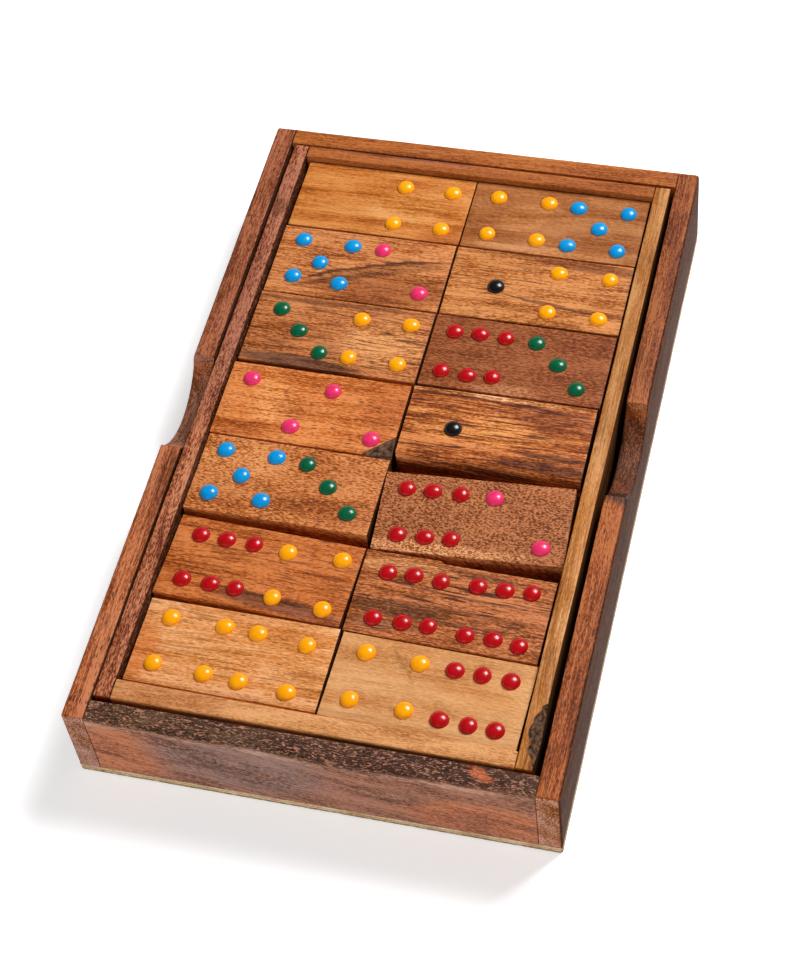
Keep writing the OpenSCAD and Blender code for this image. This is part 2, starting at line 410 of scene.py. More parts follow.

    # End grain drinks more oil and takes its own tone, and the chosen sides get painted shade,
    # as in the box's narrow gaps and on a face that the light misses
    fibre_way = Vector((math.cos(tipped) * math.cos(turned), math.cos(tipped) * math.sin(turned),
                        -math.sin(tipped)))
    facing = add(tree, "VectorMath", {0: where["Normal"], 1: fibre_way}, "Value",
                 operation="DOT_PRODUCT")
    facing = add(tree, "Math", {0: facing}, operation="ABSOLUTE")
    rough = add(tree, "MapRange", {"Value": facing, "From Min": 0.75, "From Max": 0.98},
                **SOFTLY)
    covers.append((rough, end_tone or tones[0]))
    if painted_shade_tone:
        outward = Matrix.Rotation(turned, 3, "Z") @ Vector(side)
        facing = add(tree, "VectorMath", {0: where["Normal"], 1: outward}, "Value",
                     operation="DOT_PRODUCT")
        if both_sides:
            facing = add(tree, "Math", {0: facing}, operation="ABSOLUTE")
        # sawn is the share of painted shade on this side
        sawn = add(tree, "MapRange", {"Value": facing, "From Min": 0.3, "From Max": 0.8,
                                      "To Max": 0.9}, **SOFTLY)
        covers.append((sawn, painted_shade_tone))
        rough = add(tree, "Math", {0: rough, 1: sawn}, operation="MAXIMUM")

    # Each keeps the wood's figure: the shade over its middle tone, times the new colour
    evenly = [1 / max(c, 0.004) for c in colour(tones[1])]
    figure = add(tree, "Mix", {0: 1, 6: shade, 7: evenly}, 2, data_type="RGBA",
                 blend_type="MULTIPLY")
    for share, code in covers:
        tinted = add(tree, "Mix", {0: 1, 6: figure, 7: colour(code)}, 2, data_type="RGBA",
                     blend_type="MULTIPLY")
        shade = add(tree, "Mix", {0: share, 6: shade, 7: tinted}, 2, data_type="RGBA")

    # Thin dark lines along the fibres, in some places stronger
    thread = add(tree, "MapRange", {"Value": noise["dark lines"][0], "From Min": 0.43,
                                    "From Max": 0.28}, **SOFTLY)
    strength = add(tree, "MapRange", {"Value": noise["places with dark lines"][0],
                                      "From Min": 0.35, "From Max": 0.6, "To Max": lines},
                   **SOFTLY)
    line = add(tree, "Math", {0: thread, 1: strength}, operation="MULTIPLY")

    # Pores, in about half of the cells
    spread = add(tree, "Mapping", {"Vector": cut, "Scale": PORE_ROOM}, vector_type="TEXTURE")
    cells = add(tree, "TexVoronoi", {"Vector": spread, "Scale": 1}).node.outputs
    chance = add(tree, "SeparateColor", {0: cells["Color"]})
    width = add(tree, "Math", {0: chance, 1: 0.7, 2: -0.32}, operation="MULTIPLY_ADD")
    past_rim = add(tree, "Math", {0: cells["Distance"], 1: width}, operation="SUBTRACT")
    pore = add(tree, "MapRange", {"Value": past_rim, "From Min": 0.12, "From Max": -0.1,
                                  "To Max": pores}, **SOFTLY)
    dark = add(tree, "Math", {0: pore, 1: line}, operation="MAXIMUM")
    shade = add(tree, "Mix", {0: dark, 6: shade, 7: colour(PORE_BROWN)}, 2, data_type="RGBA")
    # Bright curls of the light tone: partly light figure, partly painted glints of light off the
    # pores
    if glints:
        spread = add(tree, "Mapping", {"Vector": cut, "Scale": CURL}, vector_type="TEXTURE")
        curls = add(tree, "TexNoise", {"Vector": spread, "Scale": 1, "Detail": 1,
                                       "Distortion": 1.5})
        bright = add(tree, "MapRange", {"Value": curls, "From Min": 0.54, "From Max": 0.66,
                                        "To Max": glints}, **SOFTLY)
        shade = add(tree, "Mix", {0: bright, 6: shade, 7: colour(tones[2])}, 2,
                    data_type="RGBA")

    # Hollow pores and lines, a satin face, and no gloss on the end grain and on the sides with
    # painted shade
    relief = add(tree, "Math", {0: fibres, 1: flecks}, operation="ADD")
    height = add(tree, "Math", {0: dark, 1: -0.8, 2: relief}, operation="MULTIPLY_ADD")
    bump = add(tree, "Bump", {"Height": height, "Strength": 0.5, "Distance": 0.12 * MM})
    satin = add(tree, "Math", {0: fibres, 1: -0.25, 2: 0.68}, operation="MULTIPLY_ADD")
    gloss = add(tree, "Math", {0: rough, 1: -0.2, 2: 0.2}, operation="MULTIPLY_ADD")
    connect(tree, shader, {"Base Color": shade, "Normal": bump, "Roughness": satin,
                           "IOR": 1.47, "Specular IOR Level": gloss})
    return material


PLYWOOD_NOISE = {
    "face veneers": ((0.5, 30, 0.5), 0, 2),
    "core veneer": ((30, 0.4, 0.4), 0, 2),
    "slow": ((9, 26, 9), 0, 2),
    "saw marks": ((1.6, 1.6, 0.4), 0, 2),
}
CORE_HALF, GLUE_HALF = 0.42, 0.06   # mm, half the thickness of the middle veneer and of the glue


def birch_plywood(name, place, turn):
    """Thin three-ply board with sawn edges: pale face veneers with long faint fibres, a
    middle veneer that runs the other way, and a thin dark line of glue between them. The
    sawn edge is rougher and darker towards the bottom. Left dull."""
    material, tree, shader, where = new_material(name)
    mm = millimetres(tree, where, place, turn)
    noise = noises(tree, mm, PLYWOOD_NOISE)
    saw_marks = noise["saw marks"][0]

    # The veneers and the glue
    up = add(tree, "SeparateXYZ", {0: mm}, "Z")
    from_middle = add(tree, "Math", {0: up}, operation="ABSOLUTE")
    core = add(tree, "Math", {0: from_middle, 1: CORE_HALF}, operation="LESS_THAN")
    glue = add(tree, "Math", {0: from_middle, 1: CORE_HALF, 2: GLUE_HALF}, operation="COMPARE")
    fibres = add(tree, "Mix", {0: core, 2: noise["face veneers"][0],
                               3: noise["core veneer"][0]}, data_type="FLOAT")
    tone = add(tree, "Math", {0: fibres, 1: noise["slow"][0]}, operation="ADD")
    tone = add(tree, "Math", {0: tone, 1: 0.5}, operation="MULTIPLY")
    shade = add(tree, "ValToRGB", {"Fac": tone})
    stops = shade.node.color_ramp.elements
    stops[0].position, stops[0].color = 0.36, colour("#b8946c")
    stops[1].position, stops[1].color = 0.62, colour("#eed6b0")
    stops.new(0.5).color = colour("#d8b890")
    shade = add(tree, "Mix", {0: glue, 6: shade, 7: colour("#6d4a2c")}, 2, data_type="RGBA")

    # The sawn edges, darker along their lower part
    facing = add(tree, "SeparateXYZ", {0: where["Normal"]}, "Z")
    facing = add(tree, "Math", {0: facing}, operation="ABSOLUTE")
    edge = add(tree, "MapRange", {"Value": facing, "From Min": 0.8, "From Max": 0.3})
    low = add(tree, "Math", {0: up, 1: -0.2, 2: saw_marks}, operation="MULTIPLY_ADD")
    lower_darkening = add(tree, "MapRange", {"Value": low, "From Min": 0.52, "From Max": 0.7,
                                    "To Max": 0.85})
    share = add(tree, "Math", {0: edge, 1: lower_darkening}, operation="MULTIPLY")
    shade = add(tree, "Mix", {0: share, 6: shade, 7: colour("#6a4629")}, 2, data_type="RGBA")

    relief = add(tree, "Math", {0: fibres, 1: saw_marks}, operation="ADD")
    bump = add(tree, "Bump", {"Height": relief, "Strength": 0.6, "Distance": 0.12 * MM})
    connect(tree, shader, {"Base Color": shade, "Normal": bump, "Roughness": 0.75,
                           "Specular IOR Level": 0.2})
    return material


def gloss_enamel(name, code, dark):
    """Gloss enamel, dripped on and left to set: a bright drop with a few faint waves, a
    little darker in places"""
    material, tree, shader, where = new_material(name)
    cloud = add(tree, "TexNoise", {"Vector": where["Object"], "Scale": 700, "Detail": 1})
    shade = add(tree, "Mix", {0: cloud, 6: colour(code), 7: colour(dark)}, 2,
                data_type="RGBA")
    waves = add(tree, "TexNoise", {"Vector": where["Object"], "Scale": 900})
    bump = add(tree, "Bump", {"Height": waves, "Strength": 0.2, "Distance": 0.15 * MM})
    connect(tree, shader, {"Base Color": shade, "Normal": bump, "Roughness": 0.23,
                           "IOR": 1.5, "Specular IOR Level": 0.45})
    return material


def bark_and_cambium(name):
    """Strip of cambium and bark left on a board's edge: matt, grey-brown and stringy"""
    material, tree, shader, where = new_material(name)
    strings = Vector((1.2, 1.2, 0.7)) * MM
    stretched = add(tree, "Mapping", {"Vector": where["Object"], "Scale": strings},
                    vector_type="TEXTURE")
    stringy = add(tree, "TexNoise", {"Vector": stretched, "Scale": 1, "Detail": 3})
    shade = add(tree, "ValToRGB", {"Fac": stringy})
    stops = shade.node.color_ramp.elements
    stops[0].position, stops[0].color = 0.35, colour("#2c1a11")
    stops[1].position, stops[1].color = 0.68, colour("#75543e")
    bump = add(tree, "Bump", {"Height": stringy, "Strength": 0.8, "Distance": 0.4 * MM})
    connect(tree, shader, {"Base Color": shade, "Normal": bump, "Roughness": 0.85,
                           "Specular IOR Level": 0.2})
    return material


BARK = bark_and_cambium("bark_and_cambium")

# One enamel for each number of pips, its colour and what it darkens to
ENAMELS = {number: gloss_enamel("gloss_enamel_" + name, code, dark)
           for number, name, code, dark in (
               (1, "black", "#161415", "#0c0a0b"), (2, "pink", "#ea386e", "#d2225a"),
               (3, "green", "#02603c", "#014e30"), (4, "yellow", "#fbae00", "#f49200"),
               (5, "blue", "#0498da", "#037fc2"), (6, "red", "#be0812", "#9a0408"))}


# ---- The woods, one for each board and domino ----

FACE_Z, THROUGH = 5, 9   # mm, a mark's middle, just over the upper face, and its half depth


def streak(x, y, half_length, half_width, tilt, strength, code, *bend):
    """Mark on a domino, which shows on its upper face and goes on down through the wood"""
    return (x, y, FACE_Z), (half_length, half_width, THROUGH), tilt, strength, code, *bend


# The columns from the far end: turn in degrees, the numbers of the lower domino, where each
# half's drops landed on the upper one, in mm from its middle, and its wood
LEFT_COLUMN = [
    (-0.3, (5, 6), [], [(5.2, 6.7), (19.3, 6.6), (4.9, -7.5), (19.0, -7.5)],
     dict(tones=("#a6550f", "#c17838", "#d08846"), fibre=0.5, fleck=0.18, lines=0.25,
          pores=0.35, roll=72, marks=[
         streak(7, -1, 11, 7, 0, 0.5, "#d09252"),
         streak(22, -11, 9, 3, 0, 0.6, "#a04e1c")])),
    (-0.1, (0, 2), [(-18.6, 7.7), (-4.0, 7.4), (-11.8, 0.0), (-18.2, -6.0), (-4.5, -6.8)],
     [(4.9, 7.3), (18.7, -6.7)],
     dict(tones=("#8c440e", "#b86e39", "#d08852"), fleck=0.3, rings=0.3, lines=0.4, pores=0.5,
          roll=65, marks=[
         streak(9, -7, 19, 5.5, 4, 0.75, "#8f4a1f"),
         streak(4, 1.4, 23, 0.6, 16, 0.9, "#4a200e", -0.0043),
         streak(6, 0, 20, 1.8, 15, 0.5, "#74401c", -0.0043),
         streak(-4, -4, 14, 1.0, 18, 0.6, "#55290f", -0.004)])),
    (-0.5, (3, 0), [(-17.8, 6.7), (-10.9, -0.1), (-3.3, -6.8)],
     [(5.4, 6.7), (19.4, 7.0), (5.1, -7.1), (19.0, -7.1)],
     dict(tones=("#86420f", "#ae6636", "#c87f4b"), rings=0.3, lines=0.7, pores=0.6, roll=60,
          marks=[
         streak(14, -1, 12, 7, 0, 0.5, "#cc8a50"),
         streak(-9, -10.8, 18, 2.4, -1, 0.85, "#553324"),
         streak(-4, 11.3, 22, 1.0, 0, 0.7, "#55290f"),
         streak(-14, -2, 13, 5, 0, 0.35, "#9b5426")])),
    (-0.4, (5, 5), [(-18.7, 7.2), (-3.9, -6.9)], [(4.5, 6.7), (18.7, -7.3)],
     dict(tones=("#a54e0f", "#c36f34", "#d9884c"), fibre=0.7, lines=0.25, pores=0.8,
          roll=75, marks=[
         streak(-11, 2, 5, 9, 8, 0.45, "#d88c4c"),
         streak(21, 3, 7, 9, 0, 0.55, "#a8521e"),
         streak(-17, -9, 12, 2.2, 0, 0.4, "#a5551d")])),
    (-0.6, (1, 1), [(-19.1, 7.7), (-4.9, 7.7), (-12.6, 0.2), (-19.6, -6.7), (-5.2, -6.7)],
     [(3.9, 7.0), (11.2, 0.7), (18.4, -6.5)],
     dict(tones=("#9a4e16", "#b76a34", "#cf854f"), dive=14, rings=0.3, fibre=0.5, fleck=0.5,
          coarse=1.15, lines=0.15, pores=0.7, marks=[
         streak(-16, 6, 14, 6, -6, 0.5, "#c97c3f"),
         streak(14, -7, 14, 4, -8, 0.4, "#a5582a"),
         streak(12, 8, 16, 1.4, -3, 0.4, "#a05420")])),
    (-2.3, (6, 1), [(-18.4, 7.1), (-11.2, 7.1), (-3.7, 7.2), (-18.8, -7.0), (-11.1, -6.9),
                    (-4.3, -6.9)],
     [(5.7, 6.7), (20.2, 7.4), (5.9, -7.5), (19.5, -8.1)],
     dict(tones=("#98470d", "#b66228", "#ca7740"), lines=0.6, pores=0.55, roll=80, marks=[
         streak(6, -9.3, 17, 2.3, -3, 0.85, "#6e3a20"),
         streak(2, -7.6, 13, 0.7, -5, 0.7, "#43200f"),
         streak(17, -11.5, 12, 1.5, 0, 0.6, "#8a4a2c")])),
    (-0.6, (2, 3), [(-18.4, 7.4), (-4.0, 7.4), (-18.9, -6.4), (-5.4, -7.0)],
     [(4.9, 7.0), (18.1, 6.0), (3.9, -7.5), (16.6, -8.2)],
     dict(tones=("#bf722e", "#d58e50", "#e6a672"), fibre=0.6, fleck=0.28, lines=0.4, pores=0.55,
          roll=85, marks=[
         streak(-25, -3, 6, 9, 0, 0.6, "#bf5f1c"),
         streak(2, 11.5, 18, 1.2, 0, 0.4, "#b4631f"),
         streak(16, 8, 10, 2, -6, 0.35, "#c06a2c")])),
]
RIGHT_COLUMN = [
    (-0.1, (0, 0), [(-17.9, 7.1), (-3.2, 7.1), (-18.3, -7.0), (-4.0, -7.2)],
     [(5.5, 6.6), (19.9, 6.6), (12.7, -0.3), (5.0, -7.8), (19.2, -7.7)],
     dict(tones=("#884717", "#995b2c", "#ab6e3f"), fibre=0.5, fleck=0.25, lines=0.25,
          pores=0.35, roll=40, marks=[
         streak(0, -11, 22, 1.6, 0, 0.55, "#c07f4a"),
         streak(-9, 1, 7, 5, 25, 0.35, "#bb7740")])),
    (0, (5, 1), [(-11.5, -0.6)], [(4.9, 6.9), (19.3, 6.7), (4.4, -7.5), (18.7, -7.7)],
     dict(tones=("#974e12", "#bd773d", "#cd8850"), lines=0.6, pores=0.5, roll=70, marks=[
         streak(13, 10.4, 16, 2.0, 0, 0.8, "#7a3f1a"),
         streak(-12, 11.6, 14, 0.9, 0, 0.6, "#8a4a1c"),
         streak(5, -5, 17, 0.6, -7.5, 0.8, "#6b3813"),
         streak(-2, 7, 14, 0.6, -5, 0.5, "#85481a")])),
    (-0.4, (3, 3), [(-19.1, 6.9), (-12.0, 7.1), (-4.7, 6.9), (-19.7, -7.1), (-12.3, -7.6),
                    (-5.5, -7.1)], [(4.0, 6.6), (11.2, 0.0), (17.7, -7.2)],
     dict(tones=("#743508", "#87441c", "#9b5a34"), fibre=0.5, fleck=0.55, lines=0.6,
          pores=0.4, roll=30, rings=0.25, cloud=0.5, marks=[
         streak(-1, -11, 9, 2, 0, 0.5, "#ad6a3c"),
         streak(18, 2, 9, 9, 0, 0.35, "#86401a")])),
    (0.1, (0, 6), [(-11.6, -0.4)], [],
     dict(tones=("#7c3608", "#ae5d24", "#ce7f47"), fibre=1.1, fleck=0.3, lines=0.95, pores=0.5,
          roll=82, ring=2.2, marks=[
         streak(-7, 1, 19, 5, -3, 0.6, "#c77733"),
         streak(15, 6.5, 13, 4, -2, 0.65, "#8a431c"),
         streak(0, 11.4, 27, 0.8, 0, 0.8, "#d08a52"),
         streak(0, 9.8, 27, 0.6, -1, 0.85, "#5a2a10"),
         streak(16, -5.5, 12, 0.9, -3, 0.85, "#5a2a12"),
         streak(14, -9, 14, 1.7, -2, 0.85, "#5e2c14"),
         streak(-6, -11.8, 22, 1.4, 0, 0.5, "#74381a")])),
    (3.3, (1, 2), [(-18.9, 7.4), (-12.0, 7.3), (-4.5, 7.1), (-18.9, -7.3), (-11.6, -7.4),
                   (-4.8, -7.2)], [(4.5, 6.9), (18.6, -7.3)],
     dict(tones=("#7a3b0b", "#96532a", "#b47046"), dive=28, rings=0.2, fibre=0.4, fleck=0.7,
          coarse=1.25, lines=0, pores=0.85, glints=0.5, cloud=0.5, marks=[
         streak(-8, -10.4, 22, 1.8, 0, 0.7, "#c5804c"),
         streak(8, 8, 18, 3, 0, 0.35, "#94501f")])),
    (-0.9, (5, 0), [(-18.1, 6.7), (-11.3, 7.1), (-4.1, 6.6), (-18.4, -7.3), (-10.8, -7.3),
                    (-4.1, -7.1)],
     [(5.5, 7.0), (12.5, 7.1), (19.4, 7.6), (5.7, -7.9), (12.8, -7.7), (19.6, -8.4)],
     dict(tones=("#83400c", "#a85c2c", "#c5794b"), fibre=0.8, fleck=0.4, lines=1, pores=0.6,
          roll=78, ring=2.0, marks=[
         streak(-13, -3.6, 13, 2.4, 2, 0.6, "#5e3a24"),
         streak(-16, -8.5, 11, 1.6, 2, 0.6, "#6b4226"),
         streak(-14, 9, 12, 3, 0, 0.5, "#bf7c45"),
         streak(2, 3.2, 22, 0.45, -2, 0.7, "#5e3018"),
         streak(4, -5.2, 20, 0.45, -1, 0.7, "#5e3018"),
         streak(10, 10, 14, 0.4, -2, 0.6, "#5e3018"),
         streak(8, -1.5, 17, 0.8, -2, 0.6, "#6c3414")])),
    (-1.5, (1, 3), [(-17.9, 7.5), (-3.9, 7.1), (-18.4, -6.5), (-4.4, -6.7)],
     [(5.1, 7.0), (12.1, 7.0), (19.4, 6.8), (4.8, -7.4), (12.1, -7.5), (18.9, -7.5)],
     dict(tones=("#b8763e", "#cb8f58", "#d8a069"), fibre=0.36, fleck=0.2, lines=0.15,
          pores=0.25, roll=35, marks=[
         streak(-9, 7.4, 4.2, 0.7, -46, 0.55, "#96622e"),
         streak(-6, 5, 4.5, 0.5, -60, 0.5, "#9a642e"),
         streak(12, 1, 12, 3, -8, 0.4, "#c07a3c")])),
]


def bark_slot(piece):
    """Adds bark as the second material. The first becomes the piece's wood."""
    while len(piece.data.materials) < 2:
        piece.data.materials.append(BARK)


def to_bark(piece, wanted):
    """Gives the faces where the board had bark left on the second material"""
    bark_slot(piece)
    pick(piece, "FACE", wanted)
    piece.active_material_index = 1
    bpy.ops.object.material_slot_assign()
    bpy.ops.object.mode_set(mode="OBJECT")


# ---- Boards of the case and the tray ----

CUT_SPACING = {"board": 2.2, "domino": 2.4}   # mm between the cuts that sanding makes uneven


def board(name, low, high, along, radii, wood, slot, body, laid=None, shape=None, wear=None):
    """Straight board with sanded edges, named for what it is made of and its node. along is
    the axis of its fibres, 0 or 1. shape is cut before the edges are sanded, and wear after.
    laid is its place and turn in degrees. A board without a wood is plywood."""
    piece = block(name, low, high)
    middle = (Vector(low) + Vector(high)) / 2
    turn = 90 * along
    if shape:
        shape(piece)
    round_edges(piece, radii)
    if wear:
        wear(piece)
    for axis in (along, 1 - along):
        cross_cuts(piece, axis, steps(low[axis], high[axis], CUT_SPACING["board"]))
    if laid:
        lay(piece, *laid)
        middle = Matrix.Rotation(math.radians(laid[1]), 3, "Z") @ middle + Vector(laid[0])
        turn += laid[1]
    sand_by_hand(piece)
    material = (oiled_hardwood("oiled_" + name, middle, turn, **wood) if wood
                else birch_plywood(name + "_three_ply", middle, turn - 90 * along))
    node = name.split("_", 1)[1]
    hand_over(piece, material, body, slot, node)


half_w, half_l = CASE_W / 2, CASE_L / 2
inner_w, inner_l = half_w - CASE_WALL, half_l - CASE_WALL


def finger_scoop(side):
    """Cuts the round finger scoop of that side through a long rail"""
    y, depth = SCOOPS[side]
    x = (half_w - CASE_WALL / 2) * (1 if side == "right" else -1)

    def cut(piece):
        deselect()
        bpy.ops.mesh.primitive_cylinder_add(
            vertices=96, radius=SCOOP_R * MM, depth=3 * CASE_WALL * MM,
            rotation=(0, math.pi / 2, 0), location=Vector((x, y, CASE_H - depth + SCOOP_R)) * MM)
        cut_by(piece, added("scoop_cutter"))
    return cut


# Low and high corner, axis of the fibres and wood
# On both long rails end_tone is lighter and greyer than the side grain: painted front light and
# painted sheen on the end grain
case_rails = {
    "left": ((-half_w, -half_l, CASE_BASE_T), (-inner_w, half_l, CASE_H), 1,
             dict(tones=("#7e3a0e", "#9e5631", "#ba714c"), fibre=1, lines=0.5, pores=1, roll=60,
                  # painted_shade_tone paints shade on the inner face, dark in the gap beside the
                  # tray
                  end_tone="#b07c64", glints=0.2, painted_shade_tone="#2e1a10", side=(0, -1, 0),
                  both_sides=False, marks=[
             ((-70, 0, 12), (30, 9, 9), 0, 0.5, "#ac5e30"),
             ((56, 0, 12), (48, 9, 9), 0, 0.8, "#864628"),
             ((-2, 0, 4), (16, 9, 6), 0, 0.6, "#6e4c3c")])),
    "right": ((inner_w, -half_l, CASE_BASE_T), (half_w, half_l, CASE_H), 1,
              dict(tones=("#783202", "#954c22", "#b06432"), fibre=1, lines=0.5, pores=1, roll=50,
                   # painted_shade_tone paints shade on the outer face, which the light misses
                   end_tone="#b98068", glints=0.3, painted_shade_tone="#2e180d", side=(0, -1, 0),
                   both_sides=False, marks=[
             ((62, 0, 12), (46, 9, 9), 0, 0.8, "#7c3e1a"),
             # These three marks are painted shadow in the finger scoop: darker over the scoop,
             # and nearly black by the inner face and at the scoop's near end
             ((3, 0, 6.5), (16, 9, 5), 0, 0.8, "#4c2b1e"),
             ((2, 3.2, 7), (13, 1.6, 5), 0, 0.8, "#1c0f0a"),
             ((-12.5, 0, 8.5), (4, 9, 5), 0, 1, "#140b08")])),
    "front": ((-inner_w, -half_l, CASE_BASE_T), (inner_w, -inner_l, CASE_H), 0,
              dict(tones=("#7c4a34", "#9a634c", "#b47c62"), lines=0.5, pores=0.6, dive=12,
                   roll=20, fleck=0.55, glints=0.85, cloud=1.3, sway=6, marks=[
             ((-49, 0, -3), (11, 9, 14), 0, 0.9, "#b0643f"),
             ((46, 0, -6), (24, 9, 9), 0, 0.85, "#bb6a42"),
             ((-18, 0, 2), (24, 9, 14), 0, 0.9, "#7e6058"),
             ((20, -4, 0), (11, 5, 4), 0, 0.6, "#64402f"),
             ((18, -4, 0), (6, 5, 1.6), 0, 0.7, "#b27a60"),
             ((-30, -4, 6), (14, 5, 1.2), 0, 0.6, "#6a4a40"),
             ((-18, -4, -4), (16, 5, 1.0), 0, 0.6, "#a07a6c"),
             ((0, -3.2, 10.5), (300, 1.6, 1.2), 0, 0.5, "#bc9078"),
             ((0, 1, 12.6), (300, 5, 2.0), 0, 0.97, "#46301f"),
             ((32, 1, 12.6), (42, 5, 2.0), 0, 0.95, "#371d13"),
             ((43, 0.3, 12.2), (3.6, 1.5, 2), -38, 0.8, "#ac5028")])),
    "back": ((-inner_w, inner_l, CASE_BASE_T), (inner_w, half_l, CASE_H), 0,
             dict(tones=("#8d450a", "#9f5726", "#b26830"), lines=0.4, pores=0.5, roll=70)),
}


NEAR = 0.01   # mm within which an edge lies on a plane


def case_outer_edge(at):
    """Outer top edges and outer upright corners of the case"""
    out_x, out_y = abs(at.x) > half_w - NEAR, abs(at.y) > half_l - NEAR
    return (out_x or out_y) and (at.z > CASE_H - NEAR or (out_x and out_y))


def case_inner_edge(at):
    """Inner top edges of the case"""
    return (abs(at.z - CASE_H) < NEAR and not case_outer_edge(at)
            and (abs(abs(at.x) - inner_w) < NEAR) != (abs(abs(at.y) - inner_l) < NEAR))


def scoop_edge(at):
    """Rims of the finger scoops"""
    return CASE_BASE_T + 0.1 < at.z < CASE_H - 0.1 and abs(at.y) < 30


for side, (low, high, along, wood) in case_rails.items():
    board("hardwood_case_rail_" + side, low, high, along,
          [(case_inner_edge, 0.3), (case_outer_edge, 0.9), (scoop_edge, 0.7)],
          wood, "case_hardwood", "case", shape=finger_scoop(side) if side in SCOOPS else None)


def round_corners(piece):
    """Rounds the upright corners of a thin board, as the case's are"""
    pick(piece, "EDGE", lambda at, edge: abs(edge.verts[0].co.z - edge.verts[1].co.z) > MM)
    bpy.ops.mesh.bevel(offset=0.9 * MM, segments=4)
    bpy.ops.object.mode_set(mode="OBJECT")


board("plywood_case_base", (-half_w, -half_l, 0), (half_w, half_l, CASE_BASE_T), 1, [],
      None, "plywood", "case", shape=round_corners)

tray_in_w, tray_out_w, tray_out_l = TRAY_W / 2 - TRAY_WALL, TRAY_W / 2, TRAY_L / 2
front_wall = (TRAY_FRONT_WALL_LEFT + TRAY_FRONT_WALL_RIGHT) / 2


def taper(piece):
    """Makes the tray's near rail thicker at its left end and thinner at its right end"""
    for end, thickness in ((-1, TRAY_FRONT_WALL_LEFT), (1, TRAY_FRONT_WALL_RIGHT)):
        pick(piece, "VERT", lambda at, vert: at.x * end > 0 and at.y > -tray_out_l + 1)
        bpy.ops.transform.translate(value=(0, (thickness - front_wall) * MM, 0))
        bpy.ops.object.mode_set(mode="OBJECT")


def wane(piece):
    """Hollow of bark on the outer edge of the tray's right rail, near its near end"""
    radius, depth, slope = 9, 2.1, math.radians(40)
    deepest = Vector((tray_out_w, -86.5, CASE_H))
    out = Vector((math.cos(slope), 0, math.sin(slope)))
    middle = deepest + out * (radius - depth)
    deselect()
    bpy.ops.mesh.primitive_uv_sphere_add(segments=96, ring_count=48, radius=radius * MM,
                                         location=middle * MM, scale=(1, 1.5, 1),
                                         rotation=(0, 0, math.radians(9)))
    cutter = added("wane_cutter")
    apply_modifier(cutter, "DISPLACE", "torn bark", texture=TORN_BARK, texture_coords="LOCAL",
                   mid_level=NOISE_MIDDLE, strength=2.2 * MM)
    bark_slot(piece)
    to_bark(cutter, lambda at, face: True)   # the cut's faces keep the cutter's material
    cut_by(piece, cutter)


# Low and high corner, axis of the fibres, wood, shape and wear
tray_rails = {
    "left": ((-tray_out_w, -tray_out_l, TRAY_FLOOR_Z), (-tray_in_w, tray_out_l, CASE_H), 1,
             dict(tones=("#702602", "#9b5935", "#c07a55"), dive=8, fleck=0.4, pores=0.7,
                  # painted_shade_tone paints shade on both long faces, dark in the gaps beside
                  # the case and the dominoes
                  lines=0.5, glints=0.35, painted_shade_tone="#2c150b", marks=[
             ((46, 0, 11), (52, 9, 9), 0, 0.75, "#824830"),
             ((71, 0, 11), (3.5, 2, 9), 10, 0.8, "#5a2a14")]), None, None),
    "right": ((tray_in_w, -tray_out_l, TRAY_FLOOR_Z), (tray_out_w, tray_out_l, CASE_H), 1,
              dict(tones=("#a5611f", "#b97a3e", "#cf935c"), fibre=0.6, fleck=0.18, lines=0.5,
                   # painted_shade_tone paints shade on both long faces, dark in the gaps beside
                   # the case and the dominoes
                   pores=0.3, roll=70, painted_shade_tone="#2a160c", marks=[
             ((48, 0, 11), (52, 9, 9), 0, 0.8, "#a0672f"),
             ((-62, 0, 11), (20, 0.7, 9), 5, 0.5, "#8a5320"),
             ((-40, 1, 11), (16, 0.5, 9), -5, 0.5, "#8a5320")]), None, wane),
    "front": ((-tray_in_w, -tray_out_l, TRAY_FLOOR_Z),
              (tray_in_w, -tray_out_l + front_wall, CASE_H), 0,
              dict(tones=("#b06c36", "#ca8b52", "#da9c66"), lines=0.2, pores=0.3, fleck=0.28,
                   fibre=0.5, dive=8, glints=0.3, marks=[
             ((-38, 0, 9), (15, 9, 20), 0, 0.6, "#b36f40"),
             ((0, -3.2, 4), (200, 0.9, 6), 0, 0.6, "#a8561e")]), taper, None),
    "back": ((-tray_in_w, tray_out_l - TRAY_BACK_WALL, TRAY_FLOOR_Z),
             (tray_in_w, tray_out_l, CASE_H), 0,
             dict(tones=("#8e4916", "#9c5524", "#ae6432"), lines=0.3, pores=0.4, roll=60,
                  marks=[((-26, 1.9, 11), (26, 0.7, 5), 0, 0.8, "#6a3a2e")]), None, None),
}
for side, (low, high, along, wood, shape, wear) in tray_rails.items():
    board("hardwood_tray_rail_" + side, low, high, along,
          [(lambda at: at.z > CASE_H - NEAR, 0.35)],
          wood, "tray_hardwood", "inner_tray", laid=(TRAY_PLACE, TRAY_TURN), shape=shape,
          wear=wear)

board("plywood_tray_base", (-tray_out_w, -tray_out_l, TRAY_Z),
      (tray_out_w, tray_out_l, TRAY_FLOOR_Z), 1, [],
      None, "plywood", "inner_tray", laid=(TRAY_PLACE, TRAY_TURN), shape=round_corners)


# ---- Dominoes ----

